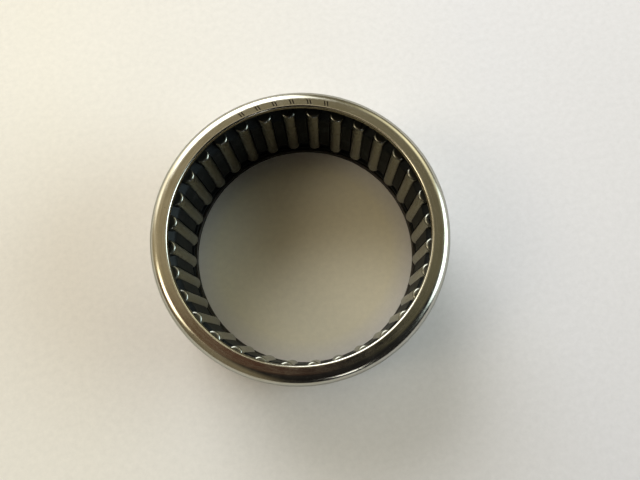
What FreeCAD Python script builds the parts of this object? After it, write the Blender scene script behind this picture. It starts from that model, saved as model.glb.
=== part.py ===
import FreeCAD, Part
import os
import Sketcher
from FreeCAD import Vector

# Caged needle roller bearing with a drawn steel cup, for a 40 mm shaft in a 47 mm housing.
# The bearing's axis is Z, its middle is the origin, and the marked end face looks up (+Z).
# The cup is pressed into a housing and stays still. The cage turns in it and carries the
# needles, and each needle rolls between the cup's raceway and the shaft.

DRIVING_SIZES = {
    # name: (value, what it measures), in millimetres unless it says otherwise
    "shaft_dia": (40.0, "circle inside the needles, where the shaft runs"),
    "cup_width": (20.0, "width of the cup over both end faces"),
    "cup_wall": (0.97, "wall of the drawn cup at the raceway"),
    "marked_lip": (1.0, "thickness of the drawn lip at the marked end"),
    "curled_lip": (0.8, "thickness of the lip curled in after assembly"),
    "lip_shaft_gap": (0.4, "gap from the shaft to either lip, radial"),
    "marked_shoulder": (1.8, "outer radius of the shoulder at the marked end"),
    "curled_shoulder": (1.8, "outer radius of the shoulder at the curled end"),
    "lip_edge": (0.3, "rounding of each lip's bore edges"),
    "root_radius": (0.6, "inner corner between raceway and marked lip"),
    "needle_dia": (2.5, "diameter of a needle"),
    "needle_count": (32, "number of needles, a count"),
    "needle_edge": (0.35, "rounding of a needle's end edges"),
    "first_needle": (4.7, "direction of the first needle from X, in degrees"),
    "raceway_play": (0.03, "running gap from needle to raceway, radial"),
    "cage_sheet": (0.75, "thickness of the cage's sheet steel"),
    "cage_shaft_gap": (0.4, "gap from the shaft to the middle of the bars, radial"),
    "cage_race_gap": (0.25, "gap from the cage's ends to the raceway, radial"),
    "cage_end_play": (0.2, "gap from the cage to each lip, along the axis"),
    "rim_width": (1.9, "unbroken ring at each end of the cage, along the axis"),
    "rim_shaft_gap": (0.85, "gap from the shaft to the turned-in rims, radial"),
    "bar_step_inset": (1.7, "from a needle's end to where the bars step outwards"),
    "bend_radius": (0.3, "inside radius of each bend in the cage"),
    "rim_edge": (0.15, "rounding of the rims' bore edges"),
    "pocket_side_play": (0.06, "gap between a needle and its pocket, radial"),
    "pocket_end_play": (0.1, "gap from a needle's end to the end of its pocket"),
    "mouth_grip": (0.26, "how much narrower than a needle the pocket's mouth is"),
}

# Sizes that follow from the driving ones, as expressions.
SHAFT_R = "(Sizes.shaft_dia / 2)"
PITCH_R = f"({SHAFT_R} + Sizes.needle_dia / 2)"
RACEWAY_R = f"({SHAFT_R} + Sizes.needle_dia + Sizes.raceway_play)"
CUP_R = f"({RACEWAY_R} + Sizes.cup_wall)"
LIP_R = f"({SHAFT_R} + Sizes.lip_shaft_gap)"
CUP_TOP = "(Sizes.cup_width / 2)"
CUP_BOTTOM = "(-Sizes.cup_width / 2)"
LIP_TOP = f"({CUP_TOP} - Sizes.marked_lip)"
LIP_BOTTOM = f"({CUP_BOTTOM} + Sizes.curled_lip)"
CAGE_MIDDLE = f"(({LIP_TOP} + {LIP_BOTTOM}) / 2)"
CAGE_HALF = f"(({LIP_TOP} - {LIP_BOTTOM}) / 2 - Sizes.cage_end_play)"
POCKET_HALF = f"({CAGE_HALF} - Sizes.rim_width)"
NEEDLE_LENGTH = f"(2 * ({POCKET_HALF} - Sizes.pocket_end_play))"
POCKET_R = "(Sizes.needle_dia / 2 + Sizes.pocket_side_play)"
MOUTH_HALF = "((Sizes.needle_dia - Sizes.mouth_grip) / 2)"
NEEDLE_STEP = "(360 / Sizes.needle_count)"

TOUCH = 1e-4  # two places closer than this are the same place

doc = FreeCAD.newDocument("needle_roller_bearing")


def write_sizes():
    """Put the driving sizes in the sheet: value in column A, meaning in column B."""
    sheet = doc.addObject("Spreadsheet::Sheet", "Sizes")
    for row, (name, (value, meaning)) in enumerate(DRIVING_SIZES.items(), 1):
        sheet.set(f"A{row}", str(value))
        sheet.setAlias(f"A{row}", name)
        sheet.set(f"B{row}", meaning)
    doc.recompute()
    return sheet


def measure(expression):
    """The present value of an expression, as a plain number."""
    return float(sizes.evalExpression(expression))


def new_body(label):
    body = doc.addObject("PartDesign::Body", label)
    body.Label = label
    return body


def origin_item(body, role):
    return next(item for item in body.Origin.OriginFeatures if item.Role == role)


def new_sketch(body, name, plane):
    sketch = body.newObject("Sketcher::SketchObject", name)
    sketch.AttachmentSupport = [(origin_item(body, plane), "")]
    sketch.MapMode = "FlatFace"
    return sketch


def hold_point(sketch, edge, end, across, up, name):
    """Tie one end of an edge to its two coordinates, so that it follows the sheet."""
    for kind, expression in (("DistanceX", across), ("DistanceY", up)):
        place = measure(expression)
        number = sketch.addConstraint(Sketcher.Constraint(kind, -1, 1, edge, end, place))
        constraint_name = f"{name}_{kind[-1].lower()}"
        sketch.renameConstraint(number, constraint_name)
        sketch.setExpression(f"Constraints.{constraint_name}", expression)


def draw_outline(sketch, corners):
    """Draw a closed outline of straight edges through corners of (across, up) expressions."""
    points = [Vector(measure(across), measure(up), 0) for across, up in corners]
    count = len(corners)
    for i in range(count):
        sketch.addGeometry(Part.LineSegment(points[i], points[(i + 1) % count]), False)
    for i, (across, up) in enumerate(corners):
        sketch.addConstraint(Sketcher.Constraint("Coincident", i - 1 if i else count - 1, 2, i, 1))
        hold_point(sketch, i, 1, across, up, f"corner{i}")


def revolve(body, sketch, name):
    """Turn an outline of (radius, height) right round the body's axis."""
    feature = body.newObject("PartDesign::Revolution", name)
    feature.Profile = sketch
    feature.ReferenceAxis = (origin_item(body, "Z_Axis"), [""])
    feature.Angle = 360
    doc.recompute()
    return feature


def round_rings(body, name, radius, rings):
    """Round the circular edges at (radius, height) places of the body's last feature."""
    base = body.Tip
    places = [(measure(ring_radius), measure(height)) for ring_radius, height in rings]
    edges = []
    for number, edge in enumerate(base.Shape.Edges, 1):
        if not isinstance(edge.Curve, Part.Circle):
            continue
        ring_radius, height = edge.Curve.Radius, edge.Curve.Center.z
        if any(abs(ring_radius - r) < TOUCH and abs(height - z) < TOUCH for r, z in places):
            edges.append(f"Edge{number}")
    if len(edges) != len(rings):
        raise RuntimeError(f"{name}: {len(edges)} edges found for {len(rings)} rings")
    fillet = body.newObject("PartDesign::Fillet", name)
    fillet.Base = (base, edges)
    fillet.setExpression("Radius", radius)
    doc.recompute()


def make_drawn_cup():
    """The outer ring: one deep-drawn steel cup whose wall is the raceway, with a lip each end."""
    body = new_body("drawn_cup")
    sketch = new_sketch(body, "cup_section", "XZ_Plane")
    draw_outline(sketch, [
        (LIP_R, CUP_BOTTOM),
        (CUP_R, CUP_BOTTOM),
        (CUP_R, CUP_TOP),
        (LIP_R, CUP_TOP),
        (LIP_R, LIP_TOP),
        (RACEWAY_R, LIP_TOP),
        (RACEWAY_R, LIP_BOTTOM),
        (LIP_R, LIP_BOTTOM),
    ])
    revolve(body, sketch, "cup_turned")
    round_rings(body, "marked_shoulder_round", "Sizes.marked_shoulder", [(CUP_R, CUP_TOP)])
    round_rings(body, "curled_shoulder_round", "Sizes.curled_shoulder", [(CUP_R, CUP_BOTTOM)])
    round_rings(body, "marked_root_round", "Sizes.root_radius", [(RACEWAY_R, LIP_TOP)])
    curl_inside = "Sizes.curled_shoulder - Sizes.curled_lip"
    round_rings(body, "curled_root_round", curl_inside, [(RACEWAY_R, LIP_BOTTOM)])
    lip_edges = [(LIP_R, height) for height in (CUP_BOTTOM, CUP_TOP, LIP_TOP, LIP_BOTTOM)]
    round_rings(body, "lip_edges_round", "Sizes.lip_edge", lip_edges)
    return body


def make_cage():
    """The cage: one strip of sheet steel, pressed to an M section and punched with a pocket
    for each needle. The bars' middles stand inside the needles' pitch circle and their ends
    outside it, so no needle can drop out either way. Both rims are turned in."""
    body = new_body("cage")
    middle_in = f"({SHAFT_R} + Sizes.cage_shaft_gap)"
    middle_out = f"({middle_in} + Sizes.cage_sheet)"
    end_out = f"({RACEWAY_R} - Sizes.cage_race_gap)"
    end_in = f"({end_out} - Sizes.cage_sheet)"
    rim_in = f"({SHAFT_R} + Sizes.rim_shaft_gap)"
    rim_inside = f"({CAGE_HALF} - Sizes.cage_sheet)"
    step_start = f"({NEEDLE_LENGTH} / 2 - Sizes.bar_step_inset)"
    step_end = f"({step_start} + {end_in} - {middle_in})"
    mitre = "(Sizes.cage_sheet * tan(22.5))"  # a 45 degree bend shifts the far skin by this
    inner_skin = [(middle_in, step_start), (end_in, step_end), (end_in, rim_inside), (rim_in, rim_inside)]
    outer_skin = [
        (rim_in, CAGE_HALF),
        (end_out, CAGE_HALF),
        (end_out, f"({step_end} - {mitre})"),
        (middle_out, f"({step_start} - {mitre})"),
    ]
    upper_half = inner_skin + outer_skin
    lower_half = [(radius, f"(-{height})") for radius, height in reversed(upper_half)]
    sketch = new_sketch(body, "cage_section", "XZ_Plane")
    draw_outline(sketch, upper_half + lower_half)
    revolve(body, sketch, "cage_strip")

    def both_ends(rings):
        return rings + [(radius, f"(-{height})") for radius, height in rings]

    inside_bend = "Sizes.bend_radius"
    outside_bend = "Sizes.bend_radius + Sizes.cage_sheet"
    round_rings(body, "inside_bends", inside_bend, both_ends([inner_skin[1], inner_skin[2], outer_skin[3]]))
    round_rings(body, "outside_bends", outside_bend, both_ends([inner_skin[0], outer_skin[1], outer_skin[2]]))
    round_rings(body, "rim_edges_round", "Sizes.rim_edge", both_ends([inner_skin[3], outer_skin[0]]))

    # One pocket: round where it holds the needle, and open to the shaft through a mouth
    # that is narrower than the needle. It goes the same way up and down from the middle.
    sketch = new_sketch(body, "pocket_section", "XY_Plane")
    seat_r, mouth = measure(POCKET_R), measure(MOUTH_HALF)
    seat_centre = Vector(measure(PITCH_R), 0, 0)
    mouth_in = SHAFT_R
    mouth_out = f"({PITCH_R} - sqrt({POCKET_R}^2 - {MOUTH_HALF}^2))"
    lower_in = Vector(measure(mouth_in), -mouth, 0)
    upper_in = Vector(measure(mouth_in), mouth, 0)
    lower_out = Vector(measure(mouth_out), -mouth, 0)
    upper_out = Vector(measure(mouth_out), mouth, 0)
    far_side = seat_centre + Vector(seat_r, 0, 0)
    sketch.addGeometry(Part.LineSegment(upper_in, lower_in), False)
    sketch.addGeometry(Part.LineSegment(lower_in, lower_out), False)
    sketch.addGeometry(Part.Arc(lower_out, far_side, upper_out), False)
    sketch.addGeometry(Part.LineSegment(upper_out, upper_in), False)
    mouth_side, seat = 1, 2
    for edge, following in ((0, 1), (1, 2), (2, 3), (3, 0)):
        sketch.addConstraint(Sketcher.Constraint("Coincident", edge, 2, following, 1))
    sketch.addConstraint(Sketcher.Constraint("Horizontal", mouth_side))
    hold_point(sketch, 0, 2, mouth_in, f"(-{MOUTH_HALF})", "mouth_lower")
    hold_point(sketch, 0, 1, mouth_in, MOUTH_HALF, "mouth_upper")
    sketch.addConstraint(Sketcher.Constraint("Horizontal", 3))
    hold_seat(sketch, seat)
    pocket = body.newObject("PartDesign::Pocket", "pocket")
    pocket.Profile = sketch
    pocket.SideType = "Symmetric"
    pocket.setExpression("Length", f"2 * {POCKET_HALF}")
    doc.recompute()
    ring = body.newObject("PartDesign::PolarPattern", "pocket_ring")
    ring.Originals = [pocket]
    ring.Axis = (origin_item(body, "Z_Axis"), [""])
    ring.Angle = 360
    ring.setExpression("Occurrences", "Sizes.needle_count")
    body.Tip = ring
    body.setExpression("Placement.Base.z", CAGE_MIDDLE)
    body.setExpression("Placement.Rotation.Angle", "Sizes.first_needle")
    return body


def hold_seat(sketch, seat):
    """Tie a pocket's round seat to the needles' pitch circle and to its own radius."""
    sketch.addConstraint(Sketcher.Constraint("PointOnObject", seat, 3, -1))
    number = sketch.addConstraint(Sketcher.Constraint("DistanceX", -1, 1, seat, 3, measure(PITCH_R)))
    sketch.renameConstraint(number, "seat_centre")
    sketch.setExpression("Constraints.seat_centre", PITCH_R)
    number = sketch.addConstraint(Sketcher.Constraint("Radius", seat, measure(POCKET_R)))
    sketch.renameConstraint(number, "seat_radius")
    sketch.setExpression("Constraints.seat_radius", POCKET_R)


def make_needle(number):
    """One ground and lapped needle, flat at both ends with rounded edges."""
    label = f"needle_{number:02d}"
    body = new_body(label)
    sketch = new_sketch(body, f"{label}_section", "XY_Plane")
    needle_r = measure("Sizes.needle_dia / 2")
    sketch.addGeometry(Part.Circle(Vector(0, 0, 0), Vector(0, 0, 1), needle_r), False)
    sketch.addConstraint(Sketcher.Constraint("Coincident", 0, 3, -1, 1))
    constraint = sketch.addConstraint(Sketcher.Constraint("Diameter", 0, 2 * needle_r))
    sketch.renameConstraint(constraint, "needle_dia")
    sketch.setExpression("Constraints.needle_dia", "Sizes.needle_dia")
    pad = body.newObject("PartDesign::Pad", f"{label}_pad")
    pad.Profile = sketch
    pad.SideType = "Symmetric"
    pad.setExpression("Length", NEEDLE_LENGTH)
    doc.recompute()
    half = f"({NEEDLE_LENGTH} / 2)"
    ends = [("(Sizes.needle_dia / 2)", half), ("(Sizes.needle_dia / 2)", f"(-{half})")]
    round_rings(body, f"{label}_ends", "Sizes.needle_edge", ends)
    direction = f"(Sizes.first_needle + {number - 1} * {NEEDLE_STEP})"
    body.setExpression("Placement.Base.x", f"{PITCH_R} * cos({direction})")
    body.setExpression("Placement.Base.y", f"{PITCH_R} * sin({direction})")
    body.setExpression("Placement.Base.z", CAGE_MIDDLE)
    return body


def check_document(parts):
    """Stop unless every object is sound and every part is one valid solid."""
    for item in doc.Objects:
        if "Invalid" in item.State or "Error" in item.State:
            raise RuntimeError(f"{item.Label} failed: {item.State}")
    for part in parts:
        if part.Shape.isNull() or not part.Shape.isValid() or len(part.Shape.Solids) != 1:
            raise RuntimeError(f"{part.Label} is not one valid solid")


sizes = write_sizes()
cup = make_drawn_cup()
cage = make_cage()
needles = [make_needle(number) for number in range(1, int(measure("Sizes.needle_count")) + 1)]
doc.recompute()
pieces = [cup, cage] + needles
check_document(pieces)
os.makedirs("parts", exist_ok=True)
for piece in pieces:
    piece.Shape.exportStep(f"parts/{piece.Label}.step")
for piece in pieces[:3]:
    box = piece.Shape.BoundBox
    print(piece.Label, "volume %.2f mm3" % piece.Shape.Volume)
    print("  X %.3f..%.3f  Y %.3f..%.3f  Z %.3f..%.3f" % (box.XMin, box.XMax, box.YMin, box.YMax, box.ZMin, box.ZMax))
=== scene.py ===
import math
import bmesh
import bpy
from mathutils import Matrix, Vector


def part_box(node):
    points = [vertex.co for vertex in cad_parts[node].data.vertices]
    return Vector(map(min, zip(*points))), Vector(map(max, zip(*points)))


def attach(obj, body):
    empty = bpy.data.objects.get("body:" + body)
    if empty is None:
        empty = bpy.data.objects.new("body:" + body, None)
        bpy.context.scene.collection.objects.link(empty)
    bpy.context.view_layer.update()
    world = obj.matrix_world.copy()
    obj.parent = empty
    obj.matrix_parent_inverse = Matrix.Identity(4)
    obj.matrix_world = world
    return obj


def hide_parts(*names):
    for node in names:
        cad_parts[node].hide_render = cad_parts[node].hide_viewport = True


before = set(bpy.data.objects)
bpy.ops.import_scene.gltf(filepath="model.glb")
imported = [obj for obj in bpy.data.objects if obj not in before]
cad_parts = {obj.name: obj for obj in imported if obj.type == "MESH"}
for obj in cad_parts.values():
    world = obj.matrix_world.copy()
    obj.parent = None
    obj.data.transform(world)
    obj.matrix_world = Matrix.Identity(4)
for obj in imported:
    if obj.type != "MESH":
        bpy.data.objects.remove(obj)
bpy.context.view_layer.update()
MM = 0.001

# The drawn cup: one steel strip drawn into a cup, with a lip left at each end and its wall
# hardened as the raceway. The upper lip is drawn square and stamped with a row of marks, the
# lower one is thinner and curled in last, over the cage. Case-hardened, tumbled and oiled.

cup_low, cup_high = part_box("drawn_cup")
CUP_R = (cup_high[0] - cup_low[0]) / 2
CUP_TOP, CUP_BOTTOM = cup_high[2], cup_low[2]
CUP_WALL = 0.97 * MM
RACEWAY_R = CUP_R - CUP_WALL
LIP_R = 20.4 * MM
MARKED_LIP, CURLED_LIP = 1.0 * MM, 0.8 * MM
SHOULDER = 1.8 * MM
LIP_EDGE, ROOT = 0.3 * MM, 0.6 * MM
ARC_STEPS = 9
HOLD = 0.04 * MM  # a loop this far from each round keeps the flats flat in the reflections
WELD = 1e-7
SHARP_FROM = math.radians(32)


def rounded_outline(corners):
    """Points of a closed outline of (radius, height, rounding) corners, each round an arc."""
    points = []
    count = len(corners)
    for i, (radius, height, rounding) in enumerate(corners):
        here = Vector((radius, height))
        back = (Vector(corners[i - 1][:2]) - here).normalized()
        ahead = (Vector(corners[(i + 1) % count][:2]) - here).normalized()
        half_angle = back.angle(ahead) / 2
        reach = rounding / math.tan(half_angle)
        centre = here + (back + ahead).normalized() * rounding / math.sin(half_angle)
        start = here + back * reach - centre
        turn = start.angle_signed(here + ahead * reach - centre)
        points.append(here + back * (reach + HOLD))
        for step in range(ARC_STEPS + 1):
            angle = -turn * step / ARC_STEPS
            points.append(centre + Matrix.Rotation(angle, 2) @ start)
        points.append(here + ahead * (reach + HOLD))
    return points


def section_object(name, points, path_r):
    """A closed wire section to be swept round the axis, drawn about a path of this radius."""
    mesh = bpy.data.meshes.new(name)
    count = len(points)
    places = [(p[0] - path_r, -p[1], 0) for p in points]
    mesh.from_pydata(places, [(i, (i + 1) % count) for i in range(count)], [])
    section = bpy.data.objects.new(name, mesh)
    bpy.context.collection.objects.link(section)
    return section


def new_tree(name, inputs):
    """A geometry tree with named inputs of (name, kind, value), and its two end nodes."""
    tree = bpy.data.node_groups.new(name, "GeometryNodeTree")
    tree.interface.new_socket("Geometry", in_out="INPUT", socket_type="NodeSocketGeometry")
    for input_name, kind, value in inputs:
        socket_type = "NodeSocket" + kind
        socket = tree.interface.new_socket(input_name, in_out="INPUT", socket_type=socket_type)
        if value is not None:
            socket.default_value = value
    tree.interface.new_socket("Geometry", in_out="OUTPUT", socket_type="NodeSocketGeometry")
    return tree, tree.nodes.new("NodeGroupInput"), tree.nodes.new("NodeGroupOutput")


def add(tree, kind, sockets=None, **settings):
    """Add a node, set its settings, and link or fill its sockets by name or number."""
    node = tree.nodes.new(kind)
    for setting, value in settings.items():
        setattr(node, setting, value)
    for key, value in (sockets or {}).items():
        if isinstance(value, bpy.types.NodeSocket):
            tree.links.new(value, node.inputs[key])
        else:
            node.inputs[key].default_value = value
    return node


def turned_ring(tree, given, path_radius):
    """Sweep the section given as wire round a circle about the axis."""
    path = add(tree, "GeometryNodeCurvePrimitiveCircle", {
        "Resolution": given["Turn Steps"], "Radius": path_radius})
    section = add(tree, "GeometryNodeMeshToCurve", {"Mesh": given["Geometry"]})
    ring = add(tree, "GeometryNodeCurveToMesh", {
        "Curve": path.outputs[0], "Profile Curve": section.outputs[0]})
    return ring.outputs[0]


def finish_tree(tree, end, geometry, material_socket):
    """Close a tree with Realize Instances and Set Material."""
    solid = add(tree, "GeometryNodeRealizeInstances", {"Geometry": geometry})
    coated = add(tree, "GeometryNodeSetMaterial", {
        "Geometry": solid.outputs[0], "Material": material_socket})
    tree.links.new(coated.outputs[0], end.inputs[0])


def made_by(tree, base, name, **inputs):
    """The plain mesh object that a tree makes from a base object with these inputs."""
    modifier = base.modifiers.new(tree.name, "NODES")
    modifier.node_group = tree
    for item in tree.interface.items_tree:
        key = item.name.lower().replace(" ", "_")
        if item.in_out == "INPUT" and key in inputs:
            modifier[item.identifier] = inputs[key]
    graph = bpy.context.evaluated_depsgraph_get()
    graph.update()
    mesh = bpy.data.meshes.new_from_object(base.evaluated_get(graph), depsgraph=graph)
    base.modifiers.remove(modifier)
    if mesh.materials[0] is None:
        mesh.materials.pop(index=0)
    mesh.name = name
    work = bmesh.new()
    work.from_mesh(mesh)
    bmesh.ops.remove_doubles(work, verts=work.verts, dist=WELD)
    bmesh.ops.recalc_face_normals(work, faces=work.faces)
    for face in work.faces:
        face.smooth = True
    work.to_mesh(mesh)
    work.free()
    mesh.set_sharp_from_angle(angle=SHARP_FROM)
    piece = bpy.data.objects.new(name, mesh)
    bpy.context.collection.objects.link(piece)
    return piece


def new_material(name, metallic=1.0):
    """A node material, its node tree and its main shader."""
    material = bpy.data.materials.new(name)
    material.use_nodes = True
    shader = material.node_tree.nodes["Principled BSDF"]
    shader.inputs["Metallic"].default_value = metallic
    return material, material.node_tree, shader


def ramp(tree, value, stops):
    """A colour ramp through (position, colour) stops."""
    node = add(tree, "ShaderNodeValToRGB", {"Fac": value})
    while len(node.color_ramp.elements) < len(stops):
        node.color_ramp.elements.new(1.0)
    for element, (position, colour) in zip(node.color_ramp.elements, stops):
        element.position = position
        element.color = (*colour, 1.0)
    return node.outputs["Color"]


def spread(tree, value, low, high, to_low, to_high):
    """Map a value from one range to another, held at both ends."""
    sockets = {"Value": value, "From Min": low, "From Max": high, "To Min": to_low, "To Max": to_high}
    return add(tree, "ShaderNodeMapRange", sockets).outputs["Result"]


def maths(tree, operation, first, second=0.0):
    """One step of arithmetic on two values or sockets."""
    return add(tree, "ShaderNodeMath", {0: first, 1: second}, operation=operation).outputs[0]


def noise(tree, place, scale, detail=3.0, rough=0.5, distort=0.0):
    """Noise between 0 and 1 over a place in metres."""
    sockets = {
        "Vector": place, "Scale": scale, "Detail": detail, "Roughness": rough, "Distortion": distort}
    return add(tree, "ShaderNodeTexNoise", sockets).outputs["Fac"]


def mixed(tree, share, first, second):
    """The first colour passing into the second by the share; each is a socket or a triple."""
    node = add(tree, "ShaderNodeMix", {0: share}, data_type="RGBA")
    for number, colour in ((6, first), (7, second)):
        if isinstance(colour, bpy.types.NodeSocket):
            tree.links.new(colour, node.inputs[number])
        else:
            node.inputs[number].default_value = (*colour, 1.0)
    return node.outputs[2]


def cup_steel():
    """Drawn and tumbled steel: fine rings left by the tools, small nicks and a film of oil, with painted
    shade on the lower lip's bore and a painted blue-grey reflection tone on the outer wall.
    """
    material, tree, shader = new_material("cup_steel")
    place = add(tree, "ShaderNodeTexCoord").outputs["Object"]
    split = add(tree, "ShaderNodeSeparateXYZ", {0: place})
    flat = add(tree, "ShaderNodeCombineXYZ", {0: split.outputs[0], 1: split.outputs[1]})
    radius = add(tree, "ShaderNodeVectorMath", {0: flat.outputs[0]}, operation="LENGTH").outputs["Value"]
    wander = noise(tree, place, 90.0, 2.0)
    drift = maths(tree, "MULTIPLY", wander, 0.0012)
    lines = add(tree, "ShaderNodeCombineXYZ", {0: radius, 1: split.outputs[2], 2: drift})
    rings = noise(tree, lines.outputs[0], 9000.0, 3.0, 0.6)
    patches = noise(tree, place, 130.0, 4.0, 0.55)
    film = noise(tree, place, 420.0, 5.0, 0.6, 0.4)
    specks = noise(tree, place, 3000.0, 3.0, 0.6)
    nicks = add(tree, "ShaderNodeTexVoronoi", {"Vector": place, "Scale": 900.0}, feature="F1")
    nick = spread(tree, nicks.outputs["Distance"], 0.04, 0.12, 1.0, 0.0)
    nick = maths(tree, "MULTIPLY", nick, spread(tree, patches, 0.54, 0.62, 0.0, 1.0))
    bands = noise(tree, lines.outputs[0], 2300.0, 3.0, 0.65)
    waves = noise(tree, place, 330.0, 2.0, 0.5)
    bare = ramp(tree, patches, [
        (0.3, (0.48, 0.46, 0.37)), (0.52, (0.555, 0.535, 0.445)), (0.72, (0.62, 0.605, 0.53))])
    # Painted reflection: from the outer part of the shoulder outwards, the steel is turned darker and
    # blue-grey, standing in for the cool reflections seen there.
    steel = mixed(tree, spread(tree, radius, 0.0226, 0.0233, 0.0, 0.8), bare, (0.46, 0.48, 0.47))
    banded = mixed(tree, spread(tree, bands, 0.42, 0.72, 0.0, 0.45), steel, (0.40, 0.37, 0.30))
    oiled = mixed(tree, spread(tree, film, 0.45, 0.72, 0.0, 0.35), banded, (0.42, 0.385, 0.29))
    worn = mixed(tree, spread(tree, rings, 0.4, 0.8, 0.0, 0.3), oiled, (0.70, 0.69, 0.66))
    nicked = mixed(tree, maths(tree, "MULTIPLY", nick, 0.5), worn, (0.17, 0.15, 0.12))
    # Painted shade: the lower lip's bore and the inside of its edge are turned near black and made rougher,
    # standing in for the shade there.
    low = spread(tree, split.outputs[2], -0.0090, -0.0082, 1.0, 0.0)
    painted_bore_shade = maths(tree, "MULTIPLY", low, spread(tree, radius, 0.0207, 0.0210, 1.0, 0.0))
    tree.links.new(mixed(tree, painted_bore_shade, nicked, (0.055, 0.05, 0.045)), shader.inputs["Base Color"])
    rough = spread(tree, rings, 0.3, 0.7, 0.085, 0.15)
    rough = maths(tree, "ADD", rough, spread(tree, film, 0.4, 0.7, 0.0, 0.06))
    rough = maths(tree, "ADD", rough, spread(tree, bands, 0.4, 0.7, 0.0, 0.06))
    rough = maths(tree, "ADD", rough, maths(tree, "MULTIPLY", painted_bore_shade, 0.3))
    rough = maths(tree, "ADD", rough, spread(tree, specks, 0.5, 0.8, 0.0, 0.06))
    tree.links.new(rough, shader.inputs["Roughness"])
    height = maths(tree, "ADD", maths(tree, "MULTIPLY", rings, 0.3), maths(tree, "MULTIPLY", bands, 0.9))
    height = maths(tree, "ADD", height, maths(tree, "MULTIPLY", waves, 2.0))
    height = maths(tree, "ADD", height, maths(tree, "MULTIPLY", specks, 0.4))
    height = maths(tree, "SUBTRACT", height, nick)
    bump = add(tree, "ShaderNodeBump", {"Height": height, "Strength": 0.25, "Distance": 0.00002})
    tree.links.new(bump.outputs[0], shader.inputs["Normal"])
    shader.inputs["Anisotropic"].default_value = 0.2
    shader.inputs["Specular Tint"].default_value = (0.5, 0.5, 0.48, 1.0)
    return material


def stamped_dark():
    """The floor of a stamped mark, where oil and tumbling dirt stay dark."""
    material, tree, shader = new_material("stamped_dark", 0.0)
    place = add(tree, "ShaderNodeTexCoord").outputs["Object"]
    dirt = noise(tree, place, 3000.0, 3.0)
    colour = ramp(tree, dirt, [(0.3, (0.016, 0.011, 0.006)), (0.7, (0.04, 0.03, 0.018))])
    tree.links.new(colour, shader.inputs["Base Color"])
    tree.links.new(spread(tree, dirt, 0.3, 0.7, 0.45, 0.7), shader.inputs["Roughness"])
    shader.inputs["Specular IOR Level"].default_value = 0.1
    return material


def cup_tree():
    """Turns the section round the axis, then stamps a row of marks into the upper lip."""
    tree, start, end = new_tree("drawn_cup_tree", [
        ("Path Radius", "Float", CUP_R),
        ("Turn Steps", "Int", 480),
        ("Mark Radius", "Float", 0.02),
        ("Mark Count", "Int", 6),
        ("First Mark", "Float", 0.0),
        ("Mark Step", "Float", 0.1),
        ("Stroke Length", "Float", 0.0008),
        ("Stroke Width", "Float", 0.0001),
        ("Stroke Gap", "Float", 0.0003),
        ("Stroke Depth", "Float", 0.0001),
        ("Stroke Lean", "Float", 0.35),
        ("Face Height", "Float", CUP_TOP),
        ("Steel", "Material", None),
        ("Mark Dirt", "Material", None),
    ])
    given = start.outputs
    ring = turned_ring(tree, given, given["Path Radius"])
    deep = maths(tree, "MULTIPLY", given["Stroke Depth"], 2.0)
    size = add(tree, "ShaderNodeCombineXYZ", {
        0: given["Stroke Length"], 1: given["Stroke Width"], 2: deep})
    bar = add(tree, "GeometryNodeMeshCube", {"Size": size.outputs[0]})
    side = maths(tree, "MULTIPLY", given["Stroke Gap"], 0.5)
    strokes = add(tree, "GeometryNodeJoinGeometry")
    for way in (-1.0, 1.0):
        shift = add(tree, "ShaderNodeCombineXYZ", {1: maths(tree, "MULTIPLY", side, way)})
        lean = add(tree, "ShaderNodeCombineXYZ", {2: given["Stroke Lean"]})
        moved = add(tree, "GeometryNodeTransform", {
            "Geometry": bar.outputs["Mesh"], "Translation": shift.outputs[0],
            "Rotation": lean.outputs[0]})
        tree.links.new(moved.outputs[0], strokes.inputs[0])
    dots = add(tree, "GeometryNodePoints", {"Count": given["Mark Count"]})
    index = add(tree, "GeometryNodeInputIndex").outputs[0]
    angle = maths(tree, "ADD", maths(tree, "MULTIPLY", index, given["Mark Step"]), given["First Mark"])
    across = maths(tree, "MULTIPLY", maths(tree, "COSINE", angle), given["Mark Radius"])
    along = maths(tree, "MULTIPLY", maths(tree, "SINE", angle), given["Mark Radius"])
    spot = add(tree, "ShaderNodeCombineXYZ", {0: across, 1: along, 2: given["Face Height"]})
    row = add(tree, "GeometryNodeSetPosition", {
        "Geometry": dots.outputs[0], "Position": spot.outputs[0]})
    facing = add(tree, "ShaderNodeCombineXYZ", {2: angle})
    turn = add(tree, "FunctionNodeEulerToRotation", {0: facing.outputs[0]})
    marks = add(tree, "GeometryNodeInstanceOnPoints", {
        "Points": row.outputs[0], "Instance": strokes.outputs[0], "Rotation": turn.outputs[0]})
    loose = add(tree, "GeometryNodeRealizeInstances", {"Geometry": marks.outputs[0]})
    tagged = add(tree, "GeometryNodeStoreNamedAttribute", {
        "Geometry": loose.outputs[0], "Name": "stamped", "Value": True}, data_type="BOOLEAN", domain="FACE")
    cut = add(tree, "GeometryNodeMeshBoolean", {"Mesh 1": ring, "Mesh 2": tagged.outputs[0]},
              operation="DIFFERENCE", solver="EXACT")
    solid = add(tree, "GeometryNodeRealizeInstances", {"Geometry": cut.outputs[0]})
    steel = add(tree, "GeometryNodeSetMaterial", {
        "Geometry": solid.outputs[0], "Material": given["Steel"]})
    stamped = add(tree, "GeometryNodeInputNamedAttribute", {"Name": "stamped"}, data_type="BOOLEAN")
    dirty = add(tree, "GeometryNodeSetMaterial", {
        "Geometry": steel.outputs[0], "Selection": stamped.outputs[0],
        "Material": given["Mark Dirt"]})
    tree.links.new(dirty.outputs[0], end.inputs[0])
    return tree


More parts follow.
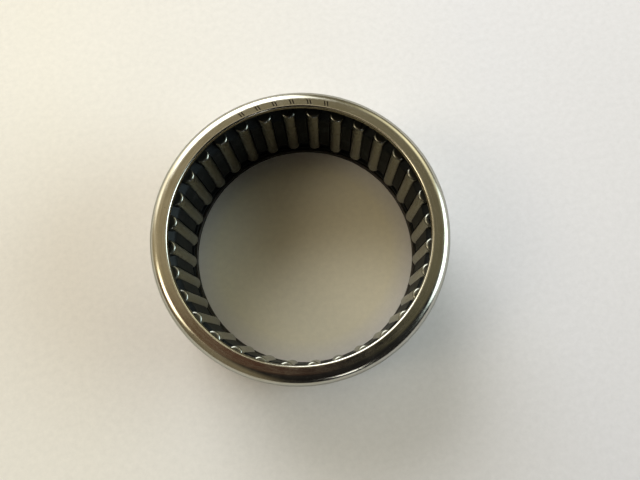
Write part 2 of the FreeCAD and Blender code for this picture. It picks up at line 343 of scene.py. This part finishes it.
cup_corners = [
    (LIP_R, CUP_BOTTOM, LIP_EDGE),
    (CUP_R, CUP_BOTTOM, SHOULDER),
    (CUP_R, CUP_TOP, SHOULDER),
    (LIP_R, CUP_TOP, LIP_EDGE),
    (LIP_R, CUP_TOP - MARKED_LIP, LIP_EDGE),
    (RACEWAY_R, CUP_TOP - MARKED_LIP, ROOT),
    (RACEWAY_R, CUP_BOTTOM + CURLED_LIP, SHOULDER - CURLED_LIP),
    (LIP_R, CUP_BOTTOM + CURLED_LIP, LIP_EDGE),
]
cup_section = section_object("cup_section", rounded_outline(cup_corners), CUP_R)
MARKS_FROM, MARKS_TO, MARK_COUNT = math.radians(66), math.radians(104), 6
MARK_R, MARK_LEAN = 21.25 * MM, 0.3
STROKE_LENGTH, STROKE_WIDTH = 0.85 * MM, 0.20 * MM
STROKE_GAP, STROKE_DEPTH = 0.46 * MM, 0.08 * MM
cup = made_by(
    cup_tree(), cup_section, "drawn_cup_shell",
    path_radius=CUP_R, mark_radius=MARK_R, mark_count=MARK_COUNT, first_mark=MARKS_FROM,
    mark_step=(MARKS_TO - MARKS_FROM) / (MARK_COUNT - 1), stroke_length=STROKE_LENGTH,
    stroke_width=STROKE_WIDTH, stroke_gap=STROKE_GAP, stroke_depth=STROKE_DEPTH,
    stroke_lean=MARK_LEAN, face_height=CUP_TOP, steel=cup_steel(), mark_dirt=stamped_dark())
bpy.data.objects.remove(cup_section)
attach(cup, "cup")
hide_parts("drawn_cup")

# The cage: one strip of sheet steel rolled to a ring and pressed to an M section, with a
# punched pocket for each needle. Its bars step out at both ends, and its rims turn in.
# Hardened dark blue-grey and left oily.


def cage_steel():
    """Hardened sheet steel, nearly black, with a fine lighter grit."""
    material, tree, shader = new_material("cage_steel", 0.4)
    place = add(tree, "ShaderNodeTexCoord").outputs["Object"]
    cloud = noise(tree, place, 260.0, 4.0, 0.6)
    grit = noise(tree, place, 4200.0, 3.0, 0.6)
    dark = ramp(tree, cloud, [
        (0.3, (0.007, 0.0085, 0.009)), (0.55, (0.0115, 0.013, 0.0135)),
        (0.75, (0.019, 0.021, 0.0215))])
    colour = mixed(tree, spread(tree, grit, 0.45, 0.8, 0.0, 0.4), dark, (0.040, 0.044, 0.043))
    tree.links.new(colour, shader.inputs["Base Color"])
    tree.links.new(spread(tree, grit, 0.3, 0.7, 0.42, 0.58), shader.inputs["Roughness"])
    shader.inputs["Specular IOR Level"].default_value = 0.2
    shader.inputs["Specular Tint"].default_value = (0.38, 0.40, 0.385, 1.0)
    bump = add(tree, "ShaderNodeBump", {"Height": grit, "Strength": 0.25, "Distance": 0.00002})
    tree.links.new(bump.outputs[0], shader.inputs["Normal"])
    return material


cage_low, cage_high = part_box("cage")
CAGE_HALF = (cage_high[2] - cage_low[2]) / 2
CAGE_MIDDLE = (cage_high[2] + cage_low[2]) / 2
CAGE_OUT = 22.28 * MM
BAR_IN = 20.4 * MM
RIM_IN = 20.85 * MM
SHEET = 0.75 * MM
BAR_STEP = 5.2 * MM  # height from the middle where the bars start to step out
BEND, RIM_EDGE = 0.3 * MM, 0.15 * MM
POCKET_HALF = 7.0 * MM
SEAT_R, MOUTH_HALF = 1.31 * MM, 1.12 * MM
SEAT_STEPS = 28
PUNCH_REACH = 2.2 * MM  # how far the punch goes in from the pitch circle, past the bars
BEND_TURN = math.radians(45)
PITCH_R = 21.25 * MM
NEEDLE_COUNT = 32
first_low, first_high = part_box("needle_01")
FIRST_NEEDLE = math.atan2(first_low[1] + first_high[1], first_low[0] + first_high[0])


def cage_corners():
    """The M section: bars stepped out at both ends, and rims turned in."""
    bar_out, end_in = BAR_IN + SHEET, CAGE_OUT - SHEET
    step_end = BAR_STEP + end_in - BAR_IN
    mitre = SHEET * math.tan(BEND_TURN / 2)
    upper = [
        (BAR_IN, BAR_STEP, BEND + SHEET), (end_in, step_end, BEND),
        (end_in, CAGE_HALF - SHEET, BEND), (RIM_IN, CAGE_HALF - SHEET, RIM_EDGE),
        (RIM_IN, CAGE_HALF, RIM_EDGE), (CAGE_OUT, CAGE_HALF, BEND + SHEET),
        (CAGE_OUT, step_end - mitre, BEND + SHEET), (bar_out, BAR_STEP - mitre, BEND)]
    both = upper + [(radius, -height, rounding) for radius, height, rounding in reversed(upper)]
    return [(radius, height + CAGE_MIDDLE, rounding) for radius, height, rounding in both]


def pocket_punch():
    """The punch for one pocket at direction X: a round seat and a narrower mouth, as a solid."""
    seat_start = math.pi - math.asin(MOUTH_HALF / SEAT_R)
    outline = [(PITCH_R - PUNCH_REACH, -MOUTH_HALF)]
    for step in range(SEAT_STEPS + 1):
        angle = -seat_start + 2 * seat_start * step / SEAT_STEPS
        outline.append((PITCH_R + SEAT_R * math.cos(angle), SEAT_R * math.sin(angle)))
    outline.append((PITCH_R - PUNCH_REACH, MOUTH_HALF))
    count = len(outline)
    places = [(x, y, CAGE_MIDDLE + side * POCKET_HALF) for side in (-1, 1) for x, y in outline]
    walls = [(i, (i + 1) % count, (i + 1) % count + count, i + count) for i in range(count)]
    mesh = bpy.data.meshes.new("pocket_punch")
    mesh.from_pydata(places, [], walls + [tuple(reversed(range(count))), tuple(range(count, 2 * count))])
    punch = bpy.data.objects.new("pocket_punch", mesh)
    bpy.context.collection.objects.link(punch)
    return punch


def cage_tree():
    """Turns the M section round the axis, then punches the ring of pockets."""
    tree, start, end = new_tree("cage_tree", [
        ("Path Radius", "Float", 0.02),
        ("Turn Steps", "Int", 384),
        ("Punch", "Object", None),
        ("Pocket Count", "Int", 32),
        ("First Pocket", "Float", 0.0),
        ("Steel", "Material", None),
    ])
    given = start.outputs
    strip = turned_ring(tree, given, given["Path Radius"])
    punch = add(tree, "GeometryNodeObjectInfo", {"Object": given["Punch"]})
    spots = add(tree, "GeometryNodePoints", {"Count": given["Pocket Count"]})
    index = add(tree, "GeometryNodeInputIndex").outputs[0]
    step = maths(tree, "DIVIDE", 2 * math.pi, given["Pocket Count"])
    angle = maths(tree, "ADD", maths(tree, "MULTIPLY", index, step), given["First Pocket"])
    facing = add(tree, "ShaderNodeCombineXYZ", {2: angle})
    turn = add(tree, "FunctionNodeEulerToRotation", {0: facing.outputs[0]})
    punches = add(tree, "GeometryNodeInstanceOnPoints", {
        "Points": spots.outputs[0], "Instance": punch.outputs["Geometry"], "Rotation": turn.outputs[0]})
    loose = add(tree, "GeometryNodeRealizeInstances", {"Geometry": punches.outputs[0]})
    punched = add(tree, "GeometryNodeMeshBoolean", {"Mesh 1": strip, "Mesh 2": loose.outputs[0]},
                  operation="DIFFERENCE", solver="EXACT")
    finish_tree(tree, end, punched.outputs[0], given["Steel"])
    return tree


cage_section = section_object("cage_section", rounded_outline(cage_corners()), PITCH_R)
punch = pocket_punch()
cage = made_by(
    cage_tree(), cage_section, "cage_ring", path_radius=PITCH_R, punch=punch,
    pocket_count=NEEDLE_COUNT, first_pocket=FIRST_NEEDLE, steel=cage_steel())
bpy.data.objects.remove(cage_section)
bpy.data.objects.remove(punch)
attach(cage, "cage")
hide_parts("cage")

# The needles: 32 rollers of through-hardened steel, ground and lapped along their length,
# with barrel-tumbled ends. Each lies loose in its own pocket.

needle_names = sorted(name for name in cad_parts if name.startswith("needle_"))
needle_low, needle_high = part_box(needle_names[0])
NEEDLE_R = (needle_high[0] - needle_low[0]) / 2
NEEDLE_HALF = (needle_high[2] - needle_low[2]) / 2
NEEDLE_EDGE = 0.35 * MM


def needle_steel():
    """Ground steel with a satin grain round the needle."""
    material, tree, shader = new_material("needle_steel")
    own_place = add(tree, "ShaderNodeAttribute", attribute_name="own_place").outputs["Vector"]
    place = add(tree, "ShaderNodeTexCoord").outputs["Object"]
    split = add(tree, "ShaderNodeSeparateXYZ", {0: own_place})
    drift = maths(tree, "MULTIPLY", noise(tree, place, 300.0, 2.0), 0.002)
    lines = add(tree, "ShaderNodeCombineXYZ", {0: split.outputs[2], 1: drift})
    grain = noise(tree, lines.outputs[0], 7000.0, 3.0, 0.6)
    film = noise(tree, place, 700.0, 4.0, 0.6)
    steel = ramp(tree, film, [
        (0.3, (0.262, 0.264, 0.224)), (0.55, (0.276, 0.278, 0.238)), (0.75, (0.29, 0.292, 0.252))])
    colour = mixed(tree, spread(tree, grain, 0.4, 0.8, 0.0, 0.15), steel, (0.38, 0.385, 0.35))
    tree.links.new(colour, shader.inputs["Base Color"])
    tree.links.new(spread(tree, grain, 0.3, 0.7, 0.24, 0.34), shader.inputs["Roughness"])
    bump = add(tree, "ShaderNodeBump", {"Height": grain, "Strength": 0.05, "Distance": 0.00001})
    tree.links.new(bump.outputs[0], shader.inputs["Normal"])
    return material


def needle_tree():
    """Turns a needle's half section round its own axis, keeps the place, and sets it down."""
    tree, start, end = new_tree("needle_tree", [
        ("Turn Steps", "Int", 40),
        ("Place", "Vector", (0.0, 0.0, 0.0)),
        ("Steel", "Material", None),
    ])
    given = start.outputs
    turned = turned_ring(tree, given, NEEDLE_R)
    joined = add(tree, "GeometryNodeMergeByDistance", {"Geometry": turned, "Distance": WELD})
    own = add(tree, "GeometryNodeInputPosition").outputs[0]
    kept = add(tree, "GeometryNodeStoreNamedAttribute", {
        "Geometry": joined.outputs[0], "Name": "own_place", "Value": own}, data_type="FLOAT_VECTOR")
    moved = add(tree, "GeometryNodeTransform", {
        "Geometry": kept.outputs[0], "Translation": given["Place"]})
    finish_tree(tree, end, moved.outputs[0], given["Steel"])
    return tree


def needle_section():
    """Half a needle's section as an open wire, from the middle of one end to the other."""
    whole = rounded_outline([
        (-NEEDLE_R, NEEDLE_HALF, NEEDLE_EDGE), (NEEDLE_R, NEEDLE_HALF, NEEDLE_EDGE),
        (NEEDLE_R, -NEEDLE_HALF, NEEDLE_EDGE), (-NEEDLE_R, -NEEDLE_HALF, NEEDLE_EDGE)])
    half = [(p[0], p[1]) for p in whole if p[0] > 0]
    points = [(0.0, NEEDLE_HALF)] + half + [(0.0, -NEEDLE_HALF)]
    wire = section_object("needle_section", points, NEEDLE_R)
    last = wire.data.edges[-1]
    work = bmesh.new()
    work.from_mesh(wire.data)
    work.edges.ensure_lookup_table()
    work.edges.remove(work.edges[last.index])
    work.to_mesh(wire.data)
    work.free()
    return wire


section = needle_section()
tree = needle_tree()
steel = needle_steel()
for name in needle_names:
    low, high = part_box(name)
    middle = [(a + b) / 2 for a, b in zip(low, high)]
    needle = made_by(tree, section, name + "_roller", place=middle, steel=steel)
    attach(needle, name)
    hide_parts(name)
bpy.data.objects.remove(section)

# The floor: the sheet of matt white paper that the bearing stands on. Light is painted into its colour:
# painted warm light to the left and painted cool light to the right, painted warm light inside the ring,
# and a painted fall of light.


def paper():
    """Matt paper with a faint fibre grain, painted warm and cool light across it, painted warm light inside
    the ring and a painted fall of light that is darker towards the viewer and the right.
    """
    material, tree, shader = new_material("paper", 0.0)
    place = add(tree, "ShaderNodeTexCoord").outputs["Object"]
    fibre = noise(tree, place, 900.0, 6.0, 0.65)
    split = add(tree, "ShaderNodeSeparateXYZ", {0: place})
    # Painted light: the paper is warmer to the left and cooler to the right, standing in for warm and cool
    # light falling from each side.
    across = spread(tree, split.outputs[0], -0.045, 0.045, 0.0, 1.0)
    tint = mixed(tree, across, (0.80, 0.755, 0.69), (0.765, 0.75, 0.785))
    # Painted light and shade: the paper is brighter to the far side and the left and darker towards the
    # viewer and the right.
    fall = maths(tree, "SUBTRACT", split.outputs[1], maths(tree, "MULTIPLY", split.outputs[0], 0.18))
    grain = spread(tree, fibre, 0.3, 0.7, 0.96, 1.035)
    shade = maths(tree, "MULTIPLY", spread(tree, fall, -0.060, 0.060, 0.92, 1.18), grain)
    flat = add(tree, "ShaderNodeCombineXYZ", {0: split.outputs[0], 1: split.outputs[1]})
    radius = add(tree, "ShaderNodeVectorMath", {0: flat.outputs[0]}, operation="LENGTH").outputs["Value"]
    # Painted light: inside the ring the paper is turned warmer, standing in for warm light bounced from the
    # steel.
    warm = mixed(tree, spread(tree, radius, 0.0165, 0.0215, 1.0, 0.0), tint, (0.87, 0.81, 0.64))
    shaded = add(tree, "ShaderNodeVectorMath", {0: warm, 3: shade}, operation="SCALE").outputs[0]
    tree.links.new(shaded, shader.inputs["Base Color"])
    shader.inputs["Roughness"].default_value = 0.8
    bump = add(tree, "ShaderNodeBump", {"Height": fibre, "Strength": 0.1, "Distance": 0.0001})
    tree.links.new(bump.outputs[0], shader.inputs["Normal"])
    return material


FLOOR_HALF = 0.6
floor_mesh = bpy.data.meshes.new("paper_sheet")
floor_mesh.from_pydata(
    [(x * FLOOR_HALF, y * FLOOR_HALF, CUP_BOTTOM) for x, y in ((-1, -1), (1, -1), (1, 1), (-1, 1))],
    [], [(0, 1, 2, 3)])
floor = bpy.data.objects.new("paper_sheet", floor_mesh)
floor.data.materials.append(paper())
bpy.context.collection.objects.link(floor)

# The room around: a warm ceiling on the far side, brighter to the left, and the dark side behind
# the viewer, with a brown corner to the left of it. It is painted on the world by direction.

world = bpy.data.worlds.new("room")
bpy.context.scene.world = world
world.use_nodes = True
sky = world.node_tree
direction = add(sky, "ShaderNodeTexCoord").outputs["Generated"]
way = add(sky, "ShaderNodeSeparateXYZ", {0: direction})
rightness = spread(sky, way.outputs[0], -0.35, 0.35, 0.0, 1.0)
farness = spread(sky, way.outputs[1], 0.09, 0.17, 0.0, 1.0)
ceiling = ramp(sky, rightness, [
    (0.0, (0.46, 0.375, 0.23)), (0.5, (0.27, 0.23, 0.145)), (1.0, (0.19, 0.17, 0.11))])
behind = ramp(sky, rightness, [
    (0.0, (0.17, 0.105, 0.06)), (0.33, (0.078, 0.032, 0.020)), (0.45, (0.032, 0.020, 0.016)),
    (0.54, (0.008, 0.009, 0.009)), (0.69, (0.010, 0.011, 0.010)), (0.76, (0.15, 0.14, 0.09)),
    (1.0, (0.17, 0.155, 0.10))])
corner_share = spread(sky, way.outputs[0], -0.55, -0.34, 1.0, 0.0)
corner = mixed(sky, corner_share, (0.014, 0.013, 0.013), (0.24, 0.20, 0.13))
dark_side = mixed(sky, spread(sky, way.outputs[1], -0.28, -0.06, 0.0, 1.0), corner, behind)
room_light = mixed(sky, farness, dark_side, ceiling)


def add_window(light, azimuth, elevation, half_size, blur, radiance, colour):
    """Add a rectangle of light with soft sides, its sizes as tangents seen from the bearing."""
    azimuth, elevation = math.radians(azimuth), math.radians(elevation)
    level = math.cos(elevation)
    toward = Vector((level * math.cos(azimuth), level * math.sin(azimuth), math.sin(elevation)))
    side = Vector((-math.sin(azimuth), math.cos(azimuth), 0.0))
    parts = []
    for axis in (toward, side, toward.cross(side)):
        dot = add(sky, "ShaderNodeVectorMath", {0: direction, 1: axis}, operation="DOT_PRODUCT")
        parts.append(dot.outputs["Value"])
    ahead = maths(sky, "MAXIMUM", parts[0], 0.02)
    share = radiance
    for part, half in zip(parts[1:], half_size):
        reach = maths(sky, "ABSOLUTE", maths(sky, "DIVIDE", part, ahead))
        share = maths(sky, "MULTIPLY", spread(sky, reach, half - blur, half + blur, 1.0, 0.0), share)
    shine = add(sky, "ShaderNodeVectorMath", {0: colour, 3: share}, operation="SCALE").outputs[0]
    return add(sky, "ShaderNodeVectorMath", {0: light, 1: shine}, operation="ADD").outputs[0]


# A tall window on the far side and one on the right, a curtain and a lit wall between and beside
# them, a warm lamp on the left, a weak one overhead and a small one behind the viewer.
room_light = add_window(room_light, 103, 29, (0.31, 0.33), 0.12, 7.0, (0.94, 0.97, 0.98))
room_light = add_window(room_light, 134, 17, (0.26, 0.28), 0.12, 1.7, (1.0, 0.96, 0.85))
room_light = add_window(room_light, -7, 20, (0.33, 0.23), 0.16, 8.0, (0.80, 0.95, 1.0))
room_light = add_window(room_light, 39, 33, (0.24, 0.20), 0.18, 1.8, (1.0, 0.94, 0.68))
room_light = add_window(room_light, 178, 40, (0.12, 0.18), 0.10, 6.5, (1.0, 0.90, 0.68))
room_light = add_window(room_light, 92, 79, (0.09, 0.09), 0.04, 1.2, (1.0, 0.92, 0.75))
room_light = add_window(room_light, -82, 20, (0.07, 0.05), 0.04, 8.0, (1.0, 1.0, 1.0))
sky.links.new(room_light, sky.nodes["Background"].inputs["Color"])
bpy.context.scene.view_settings.view_transform = "Standard"

# The camera: held by hand a little in front of the bearing and looking down on it, with a
# slight roll. Its place and aim are measured from the middle of the bearing.

CAMERA_PLACE = Vector((0.49, -18.74, 86.20)) * MM
CAMERA_AIM = Vector((3.06, -0.31, 0.0)) * MM
CAMERA_ROLL = math.radians(-4.7)
camera = bpy.data.objects.new("camera", bpy.data.cameras.new("camera"))
camera.data.sensor_width = 36.0
camera.data.lens = 28.7
camera.data.clip_start = 0.005
camera.location = CAMERA_PLACE
aim = (CAMERA_AIM - CAMERA_PLACE).to_track_quat("-Z", "Y").to_matrix()
camera.rotation_euler = (aim @ Matrix.Rotation(CAMERA_ROLL, 3, "Z")).to_euler()
bpy.context.collection.objects.link(camera)
bpy.context.scene.camera = camera
